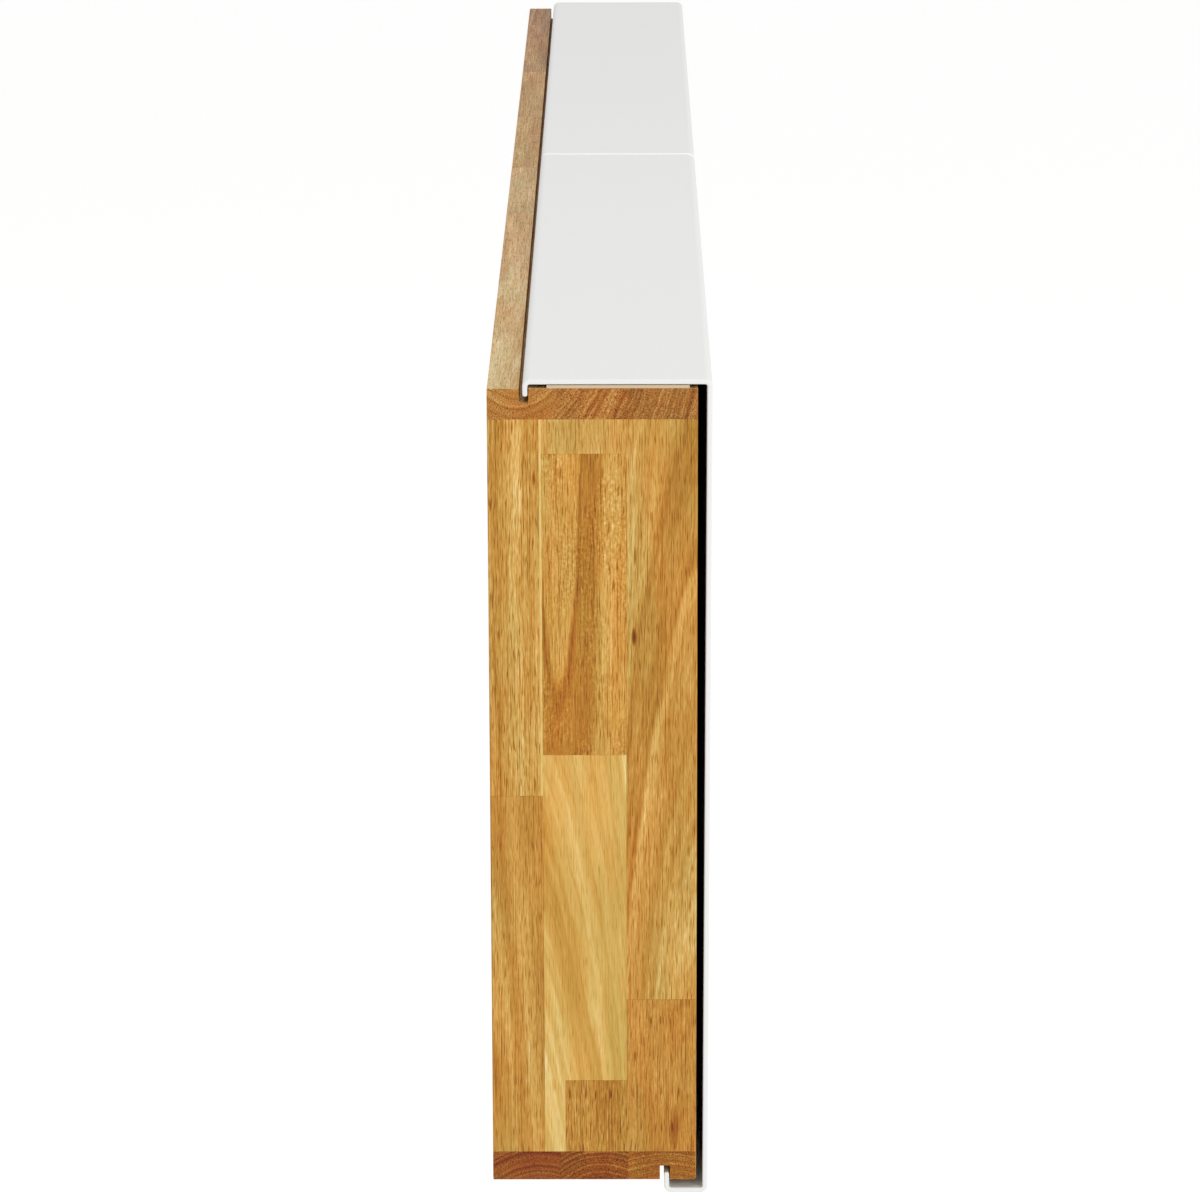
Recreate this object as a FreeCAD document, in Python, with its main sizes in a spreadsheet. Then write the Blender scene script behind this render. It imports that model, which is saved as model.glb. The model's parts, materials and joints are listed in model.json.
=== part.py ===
"""Wall-hung wooden cabinet whose top and front are covered by two sliding bent-steel doors.

Frame: X runs along the length with 0 in the middle, the back face is Y = 0 and the front is at -Y,
and Z = 0 is the line of the wall screws. Millimetres throughout.
"""
import FreeCAD, Part
import os
import re
import Sketcher

SIZES = {
    # carcass
    "length": 1524,
    "depth": 127,
    "height": 508,
    "board": 19,
    "eased_edge": 1,
    "front_round": 1.8,
    "hang_drop": 60,
    # grooves that the doors' lips run in, measured from the back face
    "top_groove_back": 19.2,
    "top_groove_width": 5.8,
    "top_groove_depth": 9,
    "bottom_groove_back": 104.4,
    "bottom_groove_width": 6.3,
    "bottom_groove_depth": 9.4,
    # bent-steel doors
    "sheet": 3.2,
    "inner_bend": 1.3,
    "lip_round": 1.2,
    "seam": 5,
    "top_gap": 2.3,
    "front_gap_top": 5.6,
    "front_gap_bottom": 4,
    "bottom_gap": 5.5,
    "top_lip_back": 21.4,
    "top_lip_reach": 5.1,
    "bottom_lip_back": 107,
    "bottom_lip_reach": 4.8,
    # door stops
    "door_travel": 350,
    "stop_inset": 162,
    "stop_radius": 1.5,
    "stop_hole_radius": 1.55,
    "stop_seat": 5,
    "stop_proud": 8,
    "stop_gap": 0.5,
    "notch_top": 0.5,
    "notch_overcut": 1,
    # glide strip and bumpers
    "glide_back": 36,
    "glide_width": 86,
    "glide_thickness": 2,
    "bumper_radius": 5,
    "bumper_thickness": 3.1,
    "bumper_inner": 80,
    "bumper_outer": 680,
    # rails, back panels and wall screws
    "hanging_rail_height": 82,
    "lower_rail_height": 60,
    "back_panel": 6,
    "screw_radius": 3.25,
    "stud_pitch": 406.4,
    # divider and shelves
    "divider_setback": 3,
    "shelf_gap": 1,
    "shelf_setback": 5,
    "shelf_pin_radius": 2.5,
    "shelf_pin_hole_radius": 2.55,
    "shelf_pin_hole_depth": 9,
    "shelf_pin_length": 17,
    "shelf_pin_pitch": 32,
    "shelf_pin_rows": 5,
    "middle_pin_drop": 47.5,
    "shelf_pin_back": 42,
    "shelf_pin_front": 104,
    # dowels
    "dowel_radius": 4,
    "dowel_hole_radius": 4.05,
    "dowel_length": 30,
    "dowel_board_hole": 10,
    "dowel_panel_hole": 21,
    "dowel_first": 40,
    "dowel_pitch": 26,
    "rail_dowel_edge": 18,
    # clearance past the end of a dowel or shelf pin in its blind hole
    "blind_end": 0.5,
}
DOWELS_PER_JOINT = 3
LEFT, RIGHT = -1, 1

# Millimetres: how near two positions count as the same, and the lengths that tell edges apart.
SAME_PLACE = 0.01
SHORT_EDGE = 10
LONG_EDGE = 100
LEAST_CUT_VOLUME = 1

doc = FreeCAD.newDocument("sliding_door_cabinet")
sheet = doc.addObject("Spreadsheet::Sheet", "Sizes")
for row, (alias, value) in enumerate(SIZES.items(), start=1):
    sheet.set(f"A{row}", alias)
    sheet.set(f"B{row}", str(value))
    sheet.setAlias(f"B{row}", alias)
doc.recompute()

# Heights and widths that several pieces share, as formulas on the sheet's names.
CARCASS_BOTTOM = "(hang_drop - height)"
CARCASS_TOP = "hang_drop"
INNER_HEIGHT = "(height - 2 * board)"
INNER_BOTTOM = f"({CARCASS_BOTTOM} + board)"
BAY_WIDTH = "((length - 3 * board) / 2)"
RAIL_LENGTH = "(length - 2 * board)"
DOOR_LENGTH = "((length - seam) / 2)"
NOTCH_LENGTH = "(door_travel + 2 * (stop_radius + stop_gap))"
MIDDLE_PIN = f"({INNER_HEIGHT} / 2 - middle_pin_drop)"
LOWEST_PIN = f"({MIDDLE_PIN} - (shelf_pin_rows - 1) / 2 * shelf_pin_pitch)"

sub_parts = []


def formula(text):
    """Turns a formula on the sheet's names into the expression that a property is bound to."""
    return re.sub(r"[a-z][a-z_]*", r"Sizes.\g<0>", str(text))


def bind(item, property_name, text):
    item.setExpression(property_name, formula(text))


def place(item, x, y, z):
    """Binds the item's position and counts it as a sub-part."""
    for axis, text in zip("xyz", (x, y, z)):
        bind(item, f"Placement.Base.{axis}", text)
    sub_parts.append(item)


def new_body(label):
    body = doc.addObject("PartDesign::Body", label)
    body.Label = label
    return body


def origin_feature(body, role):
    return next(item for item in body.Origin.OriginFeatures if item.Role == role)


def new_sketch(body, name, plane, offset="0"):
    """A sketch on one of the body's own planes, moved along that plane's normal by the offset."""
    sketch = body.newObject("Sketcher::SketchObject", f"{body.Label}_{name}")
    sketch.AttachmentSupport = [(origin_feature(body, plane), "")]
    sketch.MapMode = "FlatFace"
    bind(sketch, "AttachmentOffset.Base.z", offset)
    return sketch


def constrain(sketch, kind, *place_and_text):
    """Adds a driving dimension whose value is the formula that comes last."""
    *points, text = place_and_text
    index = sketch.addConstraint(Sketcher.Constraint(kind, *points, 1.0))
    sketch.renameConstraint(index, f"size_{index}")
    bind(sketch, f"Constraints.size_{index}", text)


def add_outline(sketch, points):
    """A closed outline of straight lines, with every corner tied to the sketch's origin."""
    values = [tuple(evaluate(text) for text in point) for point in points]
    corners = [FreeCAD.Vector(x, y, 0) for x, y in values]
    first = sketch.GeometryCount
    count = len(corners)
    for index in range(count):
        sketch.addGeometry(Part.LineSegment(corners[index], corners[(index + 1) % count]))
    for index in range(count):
        line, after = first + index, first + (index + 1) % count
        sketch.addConstraint(Sketcher.Constraint("Coincident", line, 2, after, 1))
    for index, (x, y) in enumerate(points):
        constrain(sketch, "DistanceX", -1, 1, first + index, 1, x)
        constrain(sketch, "DistanceY", -1, 1, first + index, 1, y)


def add_rectangle(sketch, left, bottom, width, height):
    right, top = f"{left} + {width}", f"{bottom} + {height}"
    add_outline(sketch, [(left, bottom), (right, bottom), (right, top), (left, top)])


def add_circle(sketch, x, y, radius):
    centre = FreeCAD.Vector(evaluate(x), evaluate(y), 0)
    index = sketch.addGeometry(Part.Circle(centre, FreeCAD.Vector(0, 0, 1), evaluate(radius)))
    constrain(sketch, "DistanceX", -1, 1, index, 3, x)
    constrain(sketch, "DistanceY", -1, 1, index, 3, y)
    constrain(sketch, "Radius", index, radius)


def evaluate(text):
    """The number that a formula gives now, used to draw a sketch near its solved shape."""
    return float(sheet.evalExpression(formula(text)))


def pad(body, sketch, length):
    feature = body.newObject("PartDesign::Pad", f"{sketch.Name}_pad")
    feature.Profile = sketch
    bind(feature, "Length", length)
    sketch.Visibility = False
    doc.recompute()
    return feature


def pocket(body, sketch, depth, along_normal):
    """Cuts the sketch into the body and makes sure that it removed something."""
    before = body.Shape.Volume
    feature = body.newObject("PartDesign::Pocket", f"{sketch.Name}_pocket")
    feature.Profile = sketch
    feature.Reversed = along_normal
    bind(feature, "Length", depth)
    doc.recompute()
    if body.Shape.Volume > before - LEAST_CUT_VOLUME:
        raise RuntimeError(f"{feature.Name} cuts nothing")
    return feature


def fillet(body, radius, wanted):
    """Rounds the edges of the body's tip that the test picks."""
    tip = body.Tip
    names = [f"Edge{number}" for number, edge in enumerate(tip.Shape.Edges, start=1) if wanted(edge)]
    if not names:
        raise RuntimeError(f"{body.Label} has no such edge")
    feature = body.newObject("PartDesign::Fillet", f"{body.Label}_round_{len(body.Group)}")
    feature.Base = (tip, names)
    bind(feature, "Radius", radius)
    doc.recompute()


def box_body(label, size_x, size_y, size_z):
    body = new_body(label)
    sketch = new_sketch(body, "outline", "XY_Plane")
    add_rectangle(sketch, "0", "0", size_x, size_y)
    pad(body, sketch, size_z)
    return body


def same(*values):
    return max(values) - min(values) < SAME_PLACE


def on_perimeter(body, level):
    """A test for the straight edges of the outline at one height."""
    box = body.Shape.BoundBox

    def wanted(edge):
        own = edge.BoundBox
        on_x = same(own.XMin, own.XMax, box.XMin) or same(own.XMin, own.XMax, box.XMax)
        on_y = same(own.YMin, own.YMax, box.YMin) or same(own.YMin, own.YMax, box.YMax)
        return same(own.ZMin, own.ZMax, level) and edge.Length > SHORT_EDGE and (on_x or on_y)

    return wanted


def on_front_edge(body, level):
    """A test for the long edge at one height along the body's front face."""
    front = body.Shape.BoundBox.YMin

    def wanted(edge):
        own = edge.BoundBox
        return edge.Length > LONG_EDGE and same(own.YMin, own.YMax, front) and same(own.ZMin, own.ZMax, level)

    return wanted


def dowel_rows():
    """The distance of each dowel of a joint from the cabinet's back face."""
    return [f"(dowel_first + {index} * dowel_pitch)" for index in range(DOWELS_PER_JOINT)]


# ---- top and bottom boards ----

def drill_for_uprights(body, from_top):
    """Dowel holes for both end panels and the divider, in a board's inner face."""
    sketch = new_sketch(body, "dowel_holes", "XY_Plane", "board" if from_top else "0")
    for x in ("board / 2", "length / 2", "length - board / 2"):
        for back in dowel_rows():
            add_circle(sketch, x, f"depth - {back}", "dowel_hole_radius")
    pocket(body, sketch, "dowel_board_hole", along_normal=not from_top)


def make_top_board():
    body = box_body("top_board", "length", "depth", "board")
    groove = new_sketch(body, "groove", "YZ_Plane")
    add_rectangle(groove, "depth - top_groove_back - top_groove_width", "board - top_groove_depth",
                  "top_groove_width", "top_groove_depth")
    pocket(body, groove, "length", along_normal=True)
    drill_for_uprights(body, from_top=False)
    stops = new_sketch(body, "stop_holes", "XY_Plane", "board")
    for x in ("stop_inset", "length - stop_inset"):
        add_circle(stops, x, "depth - top_lip_back - sheet / 2", "stop_hole_radius")
    pocket(body, stops, "top_groove_depth + stop_seat", along_normal=False)
    fillet(body, "eased_edge", on_perimeter(body, SIZES["board"]))
    place(body, "-length / 2", "-depth", f"{CARCASS_TOP} - board")


def make_bottom_board():
    body = box_body("bottom_board", "length", "depth", "board")
    groove = new_sketch(body, "groove", "YZ_Plane")
    add_rectangle(groove, "depth - bottom_groove_back - bottom_groove_width", "0",
                  "bottom_groove_width", "bottom_groove_depth")
    pocket(body, groove, "length", along_normal=True)
    drill_for_uprights(body, from_top=True)
    fillet(body, "front_round", on_front_edge(body, 0))
    fillet(body, "eased_edge", on_perimeter(body, 0))
    place(body, "-length / 2", "-depth", CARCASS_BOTTOM)


# ---- uprights ----

def drill_upright_ends(body, y_of):
    """Dowel holes in the top and bottom edges of an upright."""
    for name, offset, upwards in (("lower_dowels", "0", True), ("upper_dowels", INNER_HEIGHT, False)):
        sketch = new_sketch(body, name, "XY_Plane", offset)
        for back in dowel_rows():
            add_circle(sketch, "board / 2", y_of(back), "dowel_hole_radius")
        pocket(body, sketch, "dowel_panel_hole", along_normal=upwards)


def drill_shelf_pin_rows(body, offset, along_x, depth, y_of):
    """Two columns of shelf-pin holes: the lowest pair, repeated upwards."""
    sketch = new_sketch(body, "shelf_pin_holes", "YZ_Plane", offset)
    for back in ("shelf_pin_back", "shelf_pin_front"):
        add_circle(sketch, y_of(back), LOWEST_PIN, "shelf_pin_hole_radius")
    lowest = pocket(body, sketch, depth, along_normal=along_x)
    rows = body.newObject("PartDesign::LinearPattern", f"{body.Label}_pin_rows")
    rows.Originals = [lowest]
    rows.Direction = (origin_feature(body, "Z_Axis"), [""])
    bind(rows, "Length", "(shelf_pin_rows - 1) * shelf_pin_pitch")
    bind(rows, "Occurrences", "shelf_pin_rows")
    body.Tip = rows
    doc.recompute()


def make_end_panel(label, side):
    body = box_body(label, "board", "depth", INNER_HEIGHT)
    inner_face = "board" if side == LEFT else "0"
    along_x = side == RIGHT

    def y_of(back):
        return f"depth - {back}"

    drill_upright_ends(body, y_of)
    rails = new_sketch(body, "rail_dowels", "YZ_Plane", inner_face)
    for z in rail_dowel_heights():
        add_circle(rails, y_of("board / 2"), f"{z} - {INNER_BOTTOM}", "dowel_hole_radius")
    pocket(body, rails, "dowel_board_hole", along_normal=along_x)
    drill_shelf_pin_rows(body, inner_face, along_x, "shelf_pin_hole_depth", y_of)
    outer_x = 0 if side == LEFT else SIZES["board"]

    def outer_upright_edge(edge):
        own = edge.BoundBox
        return same(own.XMin, own.XMax, outer_x) and own.ZMax - own.ZMin > LONG_EDGE

    fillet(body, "eased_edge", outer_upright_edge)
    x = "-length / 2" if side == LEFT else "length / 2 - board"
    place(body, x, "-depth", INNER_BOTTOM)


def make_centre_divider():
    body = box_body("centre_divider", "board", "depth - board - divider_setback", INNER_HEIGHT)

    def y_of(back):
        return f"depth - divider_setback - {back}"

    drill_upright_ends(body, y_of)
    drill_shelf_pin_rows(body, "0", True, "board", y_of)
    place(body, "-board / 2", "divider_setback - depth", INNER_BOTTOM)


# ---- rails and back panels ----

def rail_dowel_heights():
    """The height of each rail dowel: two in the hanging rail, then two in the lower rail."""
    upper_top = f"({CARCASS_TOP} - board)"
    return (
        f"({upper_top} - rail_dowel_edge)",
        f"({upper_top} - hanging_rail_height + rail_dowel_edge)",
        f"({INNER_BOTTOM} + lower_rail_height - rail_dowel_edge)",
        f"({INNER_BOTTOM} + rail_dowel_edge)",
    )


def screw_places():
    """The wall screws' places along X: one on each side of the middle, and one pitch further out."""
    return [f"{turns} * stud_pitch" for turns in (-1.5, -0.5, 0.5, 1.5)]


def drill_for_screws(body, places, z, left, depth):
    sketch = new_sketch(body, "screw_holes", "XZ_Plane")
    for x in places:
        add_circle(sketch, f"{x} - {left}", z, "screw_radius")
    pocket(body, sketch, depth, along_normal=False)


def make_rail(label, height, low, dowel_heights):
    """A rail flush with the back face, between the end panels."""
    body = box_body(label, RAIL_LENGTH, "board", height)
    for name, offset, along_x in (("left_dowels", "0", True), ("right_dowels", RAIL_LENGTH, False)):
        sketch = new_sketch(body, name, "YZ_Plane", offset)
        for z in dowel_heights:
            add_circle(sketch, "board / 2", f"{z} - {low}", "dowel_hole_radius")
        pocket(body, sketch, "dowel_panel_hole", along_normal=along_x)
    place(body, "board - length / 2", "-board", low)
    return body


def make_rails():
    heights = rail_dowel_heights()
    hanging_low = f"({CARCASS_TOP} - board - hanging_rail_height)"
    hanging = make_rail("hanging_rail", "hanging_rail_height", hanging_low, heights[:2])
    drill_for_screws(hanging, screw_places(), f"0 - {hanging_low}", "(board - length / 2)", "board")
    make_rail("lower_rail", "lower_rail_height", INNER_BOTTOM, heights[2:])


def make_back_panel(label, side):
    body = box_body(label, BAY_WIDTH, "back_panel", INNER_HEIGHT)
    left = "(board - length / 2)" if side == LEFT else "(board / 2)"
    places = screw_places()[:2] if side == LEFT else screw_places()[2:]
    drill_for_screws(body, places, f"0 - {INNER_BOTTOM}", left, "back_panel")
    place(body, left, "-board - back_panel", INNER_BOTTOM)


# ---- shelves ----

def make_shelf(label, side):
    body = box_body(label, f"{BAY_WIDTH} - 2 * shelf_gap",
                    "depth - board - back_panel - shelf_gap - shelf_setback", "board")
    left = "board - length / 2" if side == LEFT else "board / 2"
    place(body, f"{left} + shelf_gap", "shelf_setback - depth",
          f"{INNER_BOTTOM} + {MIDDLE_PIN} + shelf_pin_radius")


def round_pieces(label, radius, length, direction, places):
    """A group of equal round pieces, each starting at its place and running along the direction."""
    turned = FreeCAD.Rotation(FreeCAD.Vector(0, 0, 1), direction)
    pieces = []
    for index, point in enumerate(places, start=1):
        piece = doc.addObject("Part::Cylinder", f"{label}_{index}")
        piece.Placement = FreeCAD.Placement(FreeCAD.Vector(), turned)
        bind(piece, "Radius", radius)
        bind(piece, "Height", length)
        for axis, text in zip("xyz", point):
            bind(piece, f"Placement.Base.{axis}", text)
        pieces.append(piece)
    group = doc.addObject("Part::Compound", label)
    group.Label = label
    group.Links = pieces
    sub_parts.append(group)


def make_shelf_pins(label, side):
    """Four pins under a shelf: two in the end panel and two in the divider."""
    reach = "(shelf_pin_length - shelf_pin_hole_depth)"
    if side == LEFT:
        starts = ("board - length / 2 + blind_end - shelf_pin_hole_depth", f"-board / 2 - {reach}")
    else:
        starts = ("board / 2 - shelf_pin_hole_depth", f"length / 2 - board - blind_end - {reach}")
    z = f"{INNER_BOTTOM} + {MIDDLE_PIN}"
    places = [(x, f"-{back}", z) for x in starts for back in ("shelf_pin_back", "shelf_pin_front")]
    round_pieces(label, "shelf_pin_radius", "shelf_pin_length", FreeCAD.Vector(1, 0, 0), places)


# ---- dowels ----

def make_upright_dowels(label, places_x):
    """The dowels that tie uprights to the top and bottom boards."""
    upper = f"{CARCASS_TOP} - board + dowel_board_hole - blind_end - dowel_length"
    lower = f"{INNER_BOTTOM} - dowel_board_hole + blind_end"
    places = [(x, f"-{back}", z) for x in places_x for back in dowel_rows() for z in (upper, lower)]
    round_pieces(label, "dowel_radius", "dowel_length", FreeCAD.Vector(0, 0, 1), places)


def make_rail_dowels():
    starts = ("board - length / 2 - dowel_board_hole + blind_end",
              "length / 2 - board + dowel_board_hole - blind_end - dowel_length")
    places = [(x, "-board / 2", z) for x in starts for z in rail_dowel_heights()]
    round_pieces("rail_dowels", "dowel_radius", "dowel_length", FreeCAD.Vector(1, 0, 0), places)


# ---- door running gear ----

def make_stop_pins():
    z = f"{CARCASS_TOP} - top_groove_depth - stop_seat"
    places = [(x, "-top_lip_back - sheet / 2", z)
              for x in ("stop_inset - length / 2", "length / 2 - stop_inset")]
    round_pieces("stop_pins", "stop_radius", "stop_seat + stop_proud", FreeCAD.Vector(0, 0, 1), places)


def make_top_glide_strip():
    body = box_body("top_glide_strip", "length", "glide_width", "glide_thickness")
    place(body, "-length / 2", "-glide_back - glide_width", CARCASS_TOP)


def make_front_bumpers():
    z = f"{CARCASS_BOTTOM} + board / 2"
    places = [(x, "-depth", z) for x in ("-bumper_outer", "-bumper_inner", "bumper_inner", "bumper_outer")]
    round_pieces("front_bumpers", "bumper_radius", "bumper_thickness", FreeCAD.Vector(0, -1, 0), places)


# ---- sliding doors ----

def door_profile():
    """Outer corners from the top lip round to the bottom lip, then the inner corners back."""
    panel_top, panel_bottom = "(-depth - front_gap_top)", "(-depth - front_gap_bottom)"
    flange_top, flange_bottom = "(height + top_gap)", "(-bottom_gap)"
    lip_end_top, lip_end_bottom = "(height - top_lip_reach)", "bottom_lip_reach"
    outer = [
        ("-top_lip_back", lip_end_top),
        ("-top_lip_back", f"{flange_top} + sheet"),
        (f"{panel_top} - sheet", f"{flange_top} + sheet"),
        (f"{panel_bottom} - sheet", f"{flange_bottom} - sheet"),
        ("-bottom_lip_back", f"{flange_bottom} - sheet"),
        ("-bottom_lip_back", lip_end_bottom),
    ]
    inner = [
        ("-bottom_lip_back - sheet", lip_end_bottom),
        ("-bottom_lip_back - sheet", flange_bottom),
        (panel_bottom, flange_bottom),
        (panel_top, flange_top),
        ("-top_lip_back - sheet", flange_top),
        ("-top_lip_back - sheet", lip_end_top),
    ]
    return outer, inner


def along_corners(corners):
    """A test for the edges along X that pass through the given corners of the profile."""
    wanted_points = [tuple(evaluate(text) for text in corner) for corner in corners]

    def wanted(edge):
        own = edge.BoundBox
        if own.XMax - own.XMin < LONG_EDGE:
            return False
        return any(same(own.YMin, y) and same(own.ZMin, z) for y, z in wanted_points)

    return wanted


def make_door(label, side):
    body = new_body(label)
    outer, inner = door_profile()
    profile = new_sketch(body, "profile", "YZ_Plane")
    add_outline(profile, outer + inner)
    pad(body, profile, DOOR_LENGTH)
    fillet(body, "inner_bend + sheet", along_corners(outer[1:5]))
    fillet(body, "inner_bend", along_corners(inner[1:5]))
    fillet(body, "lip_round", along_corners([outer[0], outer[5], inner[0], inner[5]]))
    if side == LEFT:
        notch_start = "stop_inset - stop_radius - stop_gap"
    else:
        notch_start = f"{DOOR_LENGTH} - stop_inset + stop_radius + stop_gap - {NOTCH_LENGTH}"
    notch = new_sketch(body, "stop_notch", "XZ_Plane", "top_lip_back - notch_overcut")
    add_rectangle(notch, notch_start, "height - top_lip_reach - notch_overcut", NOTCH_LENGTH,
                  "notch_overcut + top_lip_reach + notch_top")
    pocket(body, notch, "sheet + 2 * notch_overcut", along_normal=True)
    place(body, "-length / 2" if side == LEFT else "seam / 2", "0", CARCASS_BOTTOM)


# ---- the assembly ----

make_top_board()
make_bottom_board()
make_centre_divider()
make_rails()
make_stop_pins()
make_top_glide_strip()
make_front_bumpers()
make_upright_dowels("corner_dowels", ("board / 2 - length / 2", "length / 2 - board / 2"))
make_upright_dowels("divider_dowels", ("0",))
make_rail_dowels()
for side_name, side in (("left", LEFT), ("right", RIGHT)):
    make_end_panel(f"{side_name}_end_panel", side)
    make_back_panel(f"{side_name}_back_panel", side)
    make_shelf(f"{side_name}_shelf", side)
    make_shelf_pins(f"{side_name}_shelf_pins", side)
    make_door(f"{side_name}_door", side)

doc.recompute()
for item in doc.Objects:
    if {"Invalid", "Error"} & set(item.State):
        raise RuntimeError(f"{item.Label} did not build: {item.State}")
for item in sub_parts:
    if item.Shape.isNull() or not item.Shape.isValid():
        raise RuntimeError(f"{item.Label} has no valid shape")

os.makedirs("parts", exist_ok=True)
for item in sub_parts:
    item.Shape.exportStep(f"parts/{item.Label}.step")
    box = item.Shape.BoundBox
    print(f"{item.Label}: {len(item.Shape.Solids)} solid(s), {item.Shape.Volume / 1000:.1f} cm3, "
          f"X {box.XMin:.1f}..{box.XMax:.1f}, Y {box.YMin:.1f}..{box.YMax:.1f}, "
          f"Z {box.ZMin:.1f}..{box.ZMax:.1f}")
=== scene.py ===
import json
import math
import random
from collections import namedtuple

import bmesh
import bpy
from mathutils import Matrix, Vector

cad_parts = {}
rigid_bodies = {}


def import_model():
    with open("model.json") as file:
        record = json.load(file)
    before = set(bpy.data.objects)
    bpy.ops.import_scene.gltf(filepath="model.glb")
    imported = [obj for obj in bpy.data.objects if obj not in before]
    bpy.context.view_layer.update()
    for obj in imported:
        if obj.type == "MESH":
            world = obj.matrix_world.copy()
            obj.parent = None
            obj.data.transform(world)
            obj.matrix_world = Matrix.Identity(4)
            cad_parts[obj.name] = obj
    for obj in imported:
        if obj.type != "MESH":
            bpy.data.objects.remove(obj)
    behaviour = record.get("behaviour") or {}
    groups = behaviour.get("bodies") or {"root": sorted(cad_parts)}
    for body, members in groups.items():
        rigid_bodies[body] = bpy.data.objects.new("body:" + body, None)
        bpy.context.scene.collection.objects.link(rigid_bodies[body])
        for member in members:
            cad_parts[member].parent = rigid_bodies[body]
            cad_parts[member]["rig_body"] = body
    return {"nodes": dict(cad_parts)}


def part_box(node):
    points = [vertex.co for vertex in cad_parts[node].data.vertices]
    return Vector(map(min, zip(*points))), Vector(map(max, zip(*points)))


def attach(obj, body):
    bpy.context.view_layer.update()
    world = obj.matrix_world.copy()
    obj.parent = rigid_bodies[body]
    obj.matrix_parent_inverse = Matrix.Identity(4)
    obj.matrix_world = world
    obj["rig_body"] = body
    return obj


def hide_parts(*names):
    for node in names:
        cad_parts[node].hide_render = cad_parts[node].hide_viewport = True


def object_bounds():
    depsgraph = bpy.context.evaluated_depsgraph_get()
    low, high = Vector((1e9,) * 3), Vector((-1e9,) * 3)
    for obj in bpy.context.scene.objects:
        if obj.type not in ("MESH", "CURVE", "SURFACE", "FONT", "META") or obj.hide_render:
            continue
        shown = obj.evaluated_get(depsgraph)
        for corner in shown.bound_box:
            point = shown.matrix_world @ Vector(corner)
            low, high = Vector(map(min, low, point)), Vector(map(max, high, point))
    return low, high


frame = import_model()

cad_low, cad_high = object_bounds()

# ---- places and sizes, in metres ----

TOP_LOW, TOP_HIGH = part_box("top_board")
BOTTOM_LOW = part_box("bottom_board")[0]
PANEL_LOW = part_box("left_end_panel")[0]
DEPTH = TOP_HIGH.y - TOP_LOW.y
LENGTH = TOP_HIGH.x - TOP_LOW.x

SHEET = 0.0032                # the doors' steel
INNER_BEND = 0.0013
OUTER_BEND = INNER_BEND + SHEET
LIP_ROUND = 0.0012
TOP_LIP_REACH = 0.0051        # how far the top lip hangs below the top board's face
BOTTOM_LIP_REACH = 0.0048     # how far the bottom lip stands above the bottom board's underside
BOTTOM_LIP_BACK = 0.107       # from the back face to the bottom lip
FRONT_TOE_IN = 0.0016         # the front leans in towards the bottom by this much
NOTCH_START = 0.160           # from the door's outer end to the stop's notch
NOTCH_LENGTH = 0.354
NOTCH_TOP = 0.0005            # the notch runs this far above the top board's face

# Widths of the softened edges.
CUT_EDGE = 0.0010
BOARD_EDGE = 0.0005
DOWEL_EDGE = 0.0006
PAD_EDGE = 0.0006
PIN_EDGE = 0.0003
STRIP_EDGE = 0.0003

FLOOR_DROP = 0.75             # from the cabinet's lowest point to the floor
FLOOR_REACH = 30.0


# ---- node graphs ----

class Graph:
    """A node tree with short calls for the nodes that the materials share."""

    def __init__(self, tree):
        self.tree = tree

    def feed(self, socket, value):
        if isinstance(value, bpy.types.NodeSocket):
            self.tree.links.new(value, socket)
        else:
            socket.default_value = value

    def add(self, kind, inputs=None, **settings):
        node = self.tree.nodes.new("ShaderNode" + kind)
        for key, value in settings.items():
            setattr(node, key, value)
        for key, value in (inputs or {}).items():
            self.feed(node.inputs[key], value)
        return node

    def math(self, operation, *values):
        node = self.add("Math", operation=operation)
        for socket, value in zip(node.inputs, values):
            self.feed(socket, value)
        return node.outputs[0]

    def total(self, *values):
        result = values[0]
        for value in values[1:]:
            result = self.math("ADD", result, value)
        return result

    def vector(self, x, y, z):
        return self.add("CombineXYZ", {"X": x, "Y": y, "Z": z}).outputs[0]

    def noise(self, vector, scale, detail, roughness=0.5):
        inputs = {"Vector": vector, "Scale": scale, "Detail": detail, "Roughness": roughness}
        return self.add("TexNoise", inputs).outputs[0]

    def mix(self, factor, first, second, blend="MIX"):
        node = self.add("Mix", data_type="RGBA", blend_type=blend)
        for index, value in ((0, factor), (6, first), (7, second)):
            self.feed(node.inputs[index], value)
        return node.outputs[2]

    def pick(self, factor, colours):
        """One colour out of the list: the factor runs from 0 at the first to 1 past the last."""
        node = self.add("ValToRGB", {"Fac": factor})
        ramp = node.color_ramp
        ramp.interpolation = "CONSTANT"
        while len(ramp.elements) < len(colours):
            ramp.elements.new(1.0)
        for index, (element, value) in enumerate(zip(ramp.elements, colours)):
            element.position = index / len(colours)
            element.color = value
        return node.outputs[0]

    def remap(self, value, low, high, to_low=0.0, to_high=1.0):
        """Turns the span from low to high into the span from to_low to to_high, and stays in it."""
        inputs = {0: value, 1: low, 2: high, 3: to_low, 4: to_high}
        return self.add("MapRange", inputs, clamp=True).outputs[0]

    def bump(self, height, distance, strength):
        inputs = {"Height": height, "Distance": distance, "Strength": strength}
        return self.add("Bump", inputs).outputs[0]

    def coordinates(self):
        """A place on the piece, in its own axes at rest, and which way its surface faces there."""
        outputs = self.add("TexCoord").outputs
        return outputs["Object"], outputs["Normal"]

    def split(self, vector):
        return self.add("SeparateXYZ", {0: vector}).outputs


def new_material(name):
    """A material, its graph and its Principled shader."""
    material = bpy.data.materials.new(name)
    material.use_nodes = True
    graph = Graph(material.node_tree)
    return material, graph, material.node_tree.nodes["Principled BSDF"]


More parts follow.
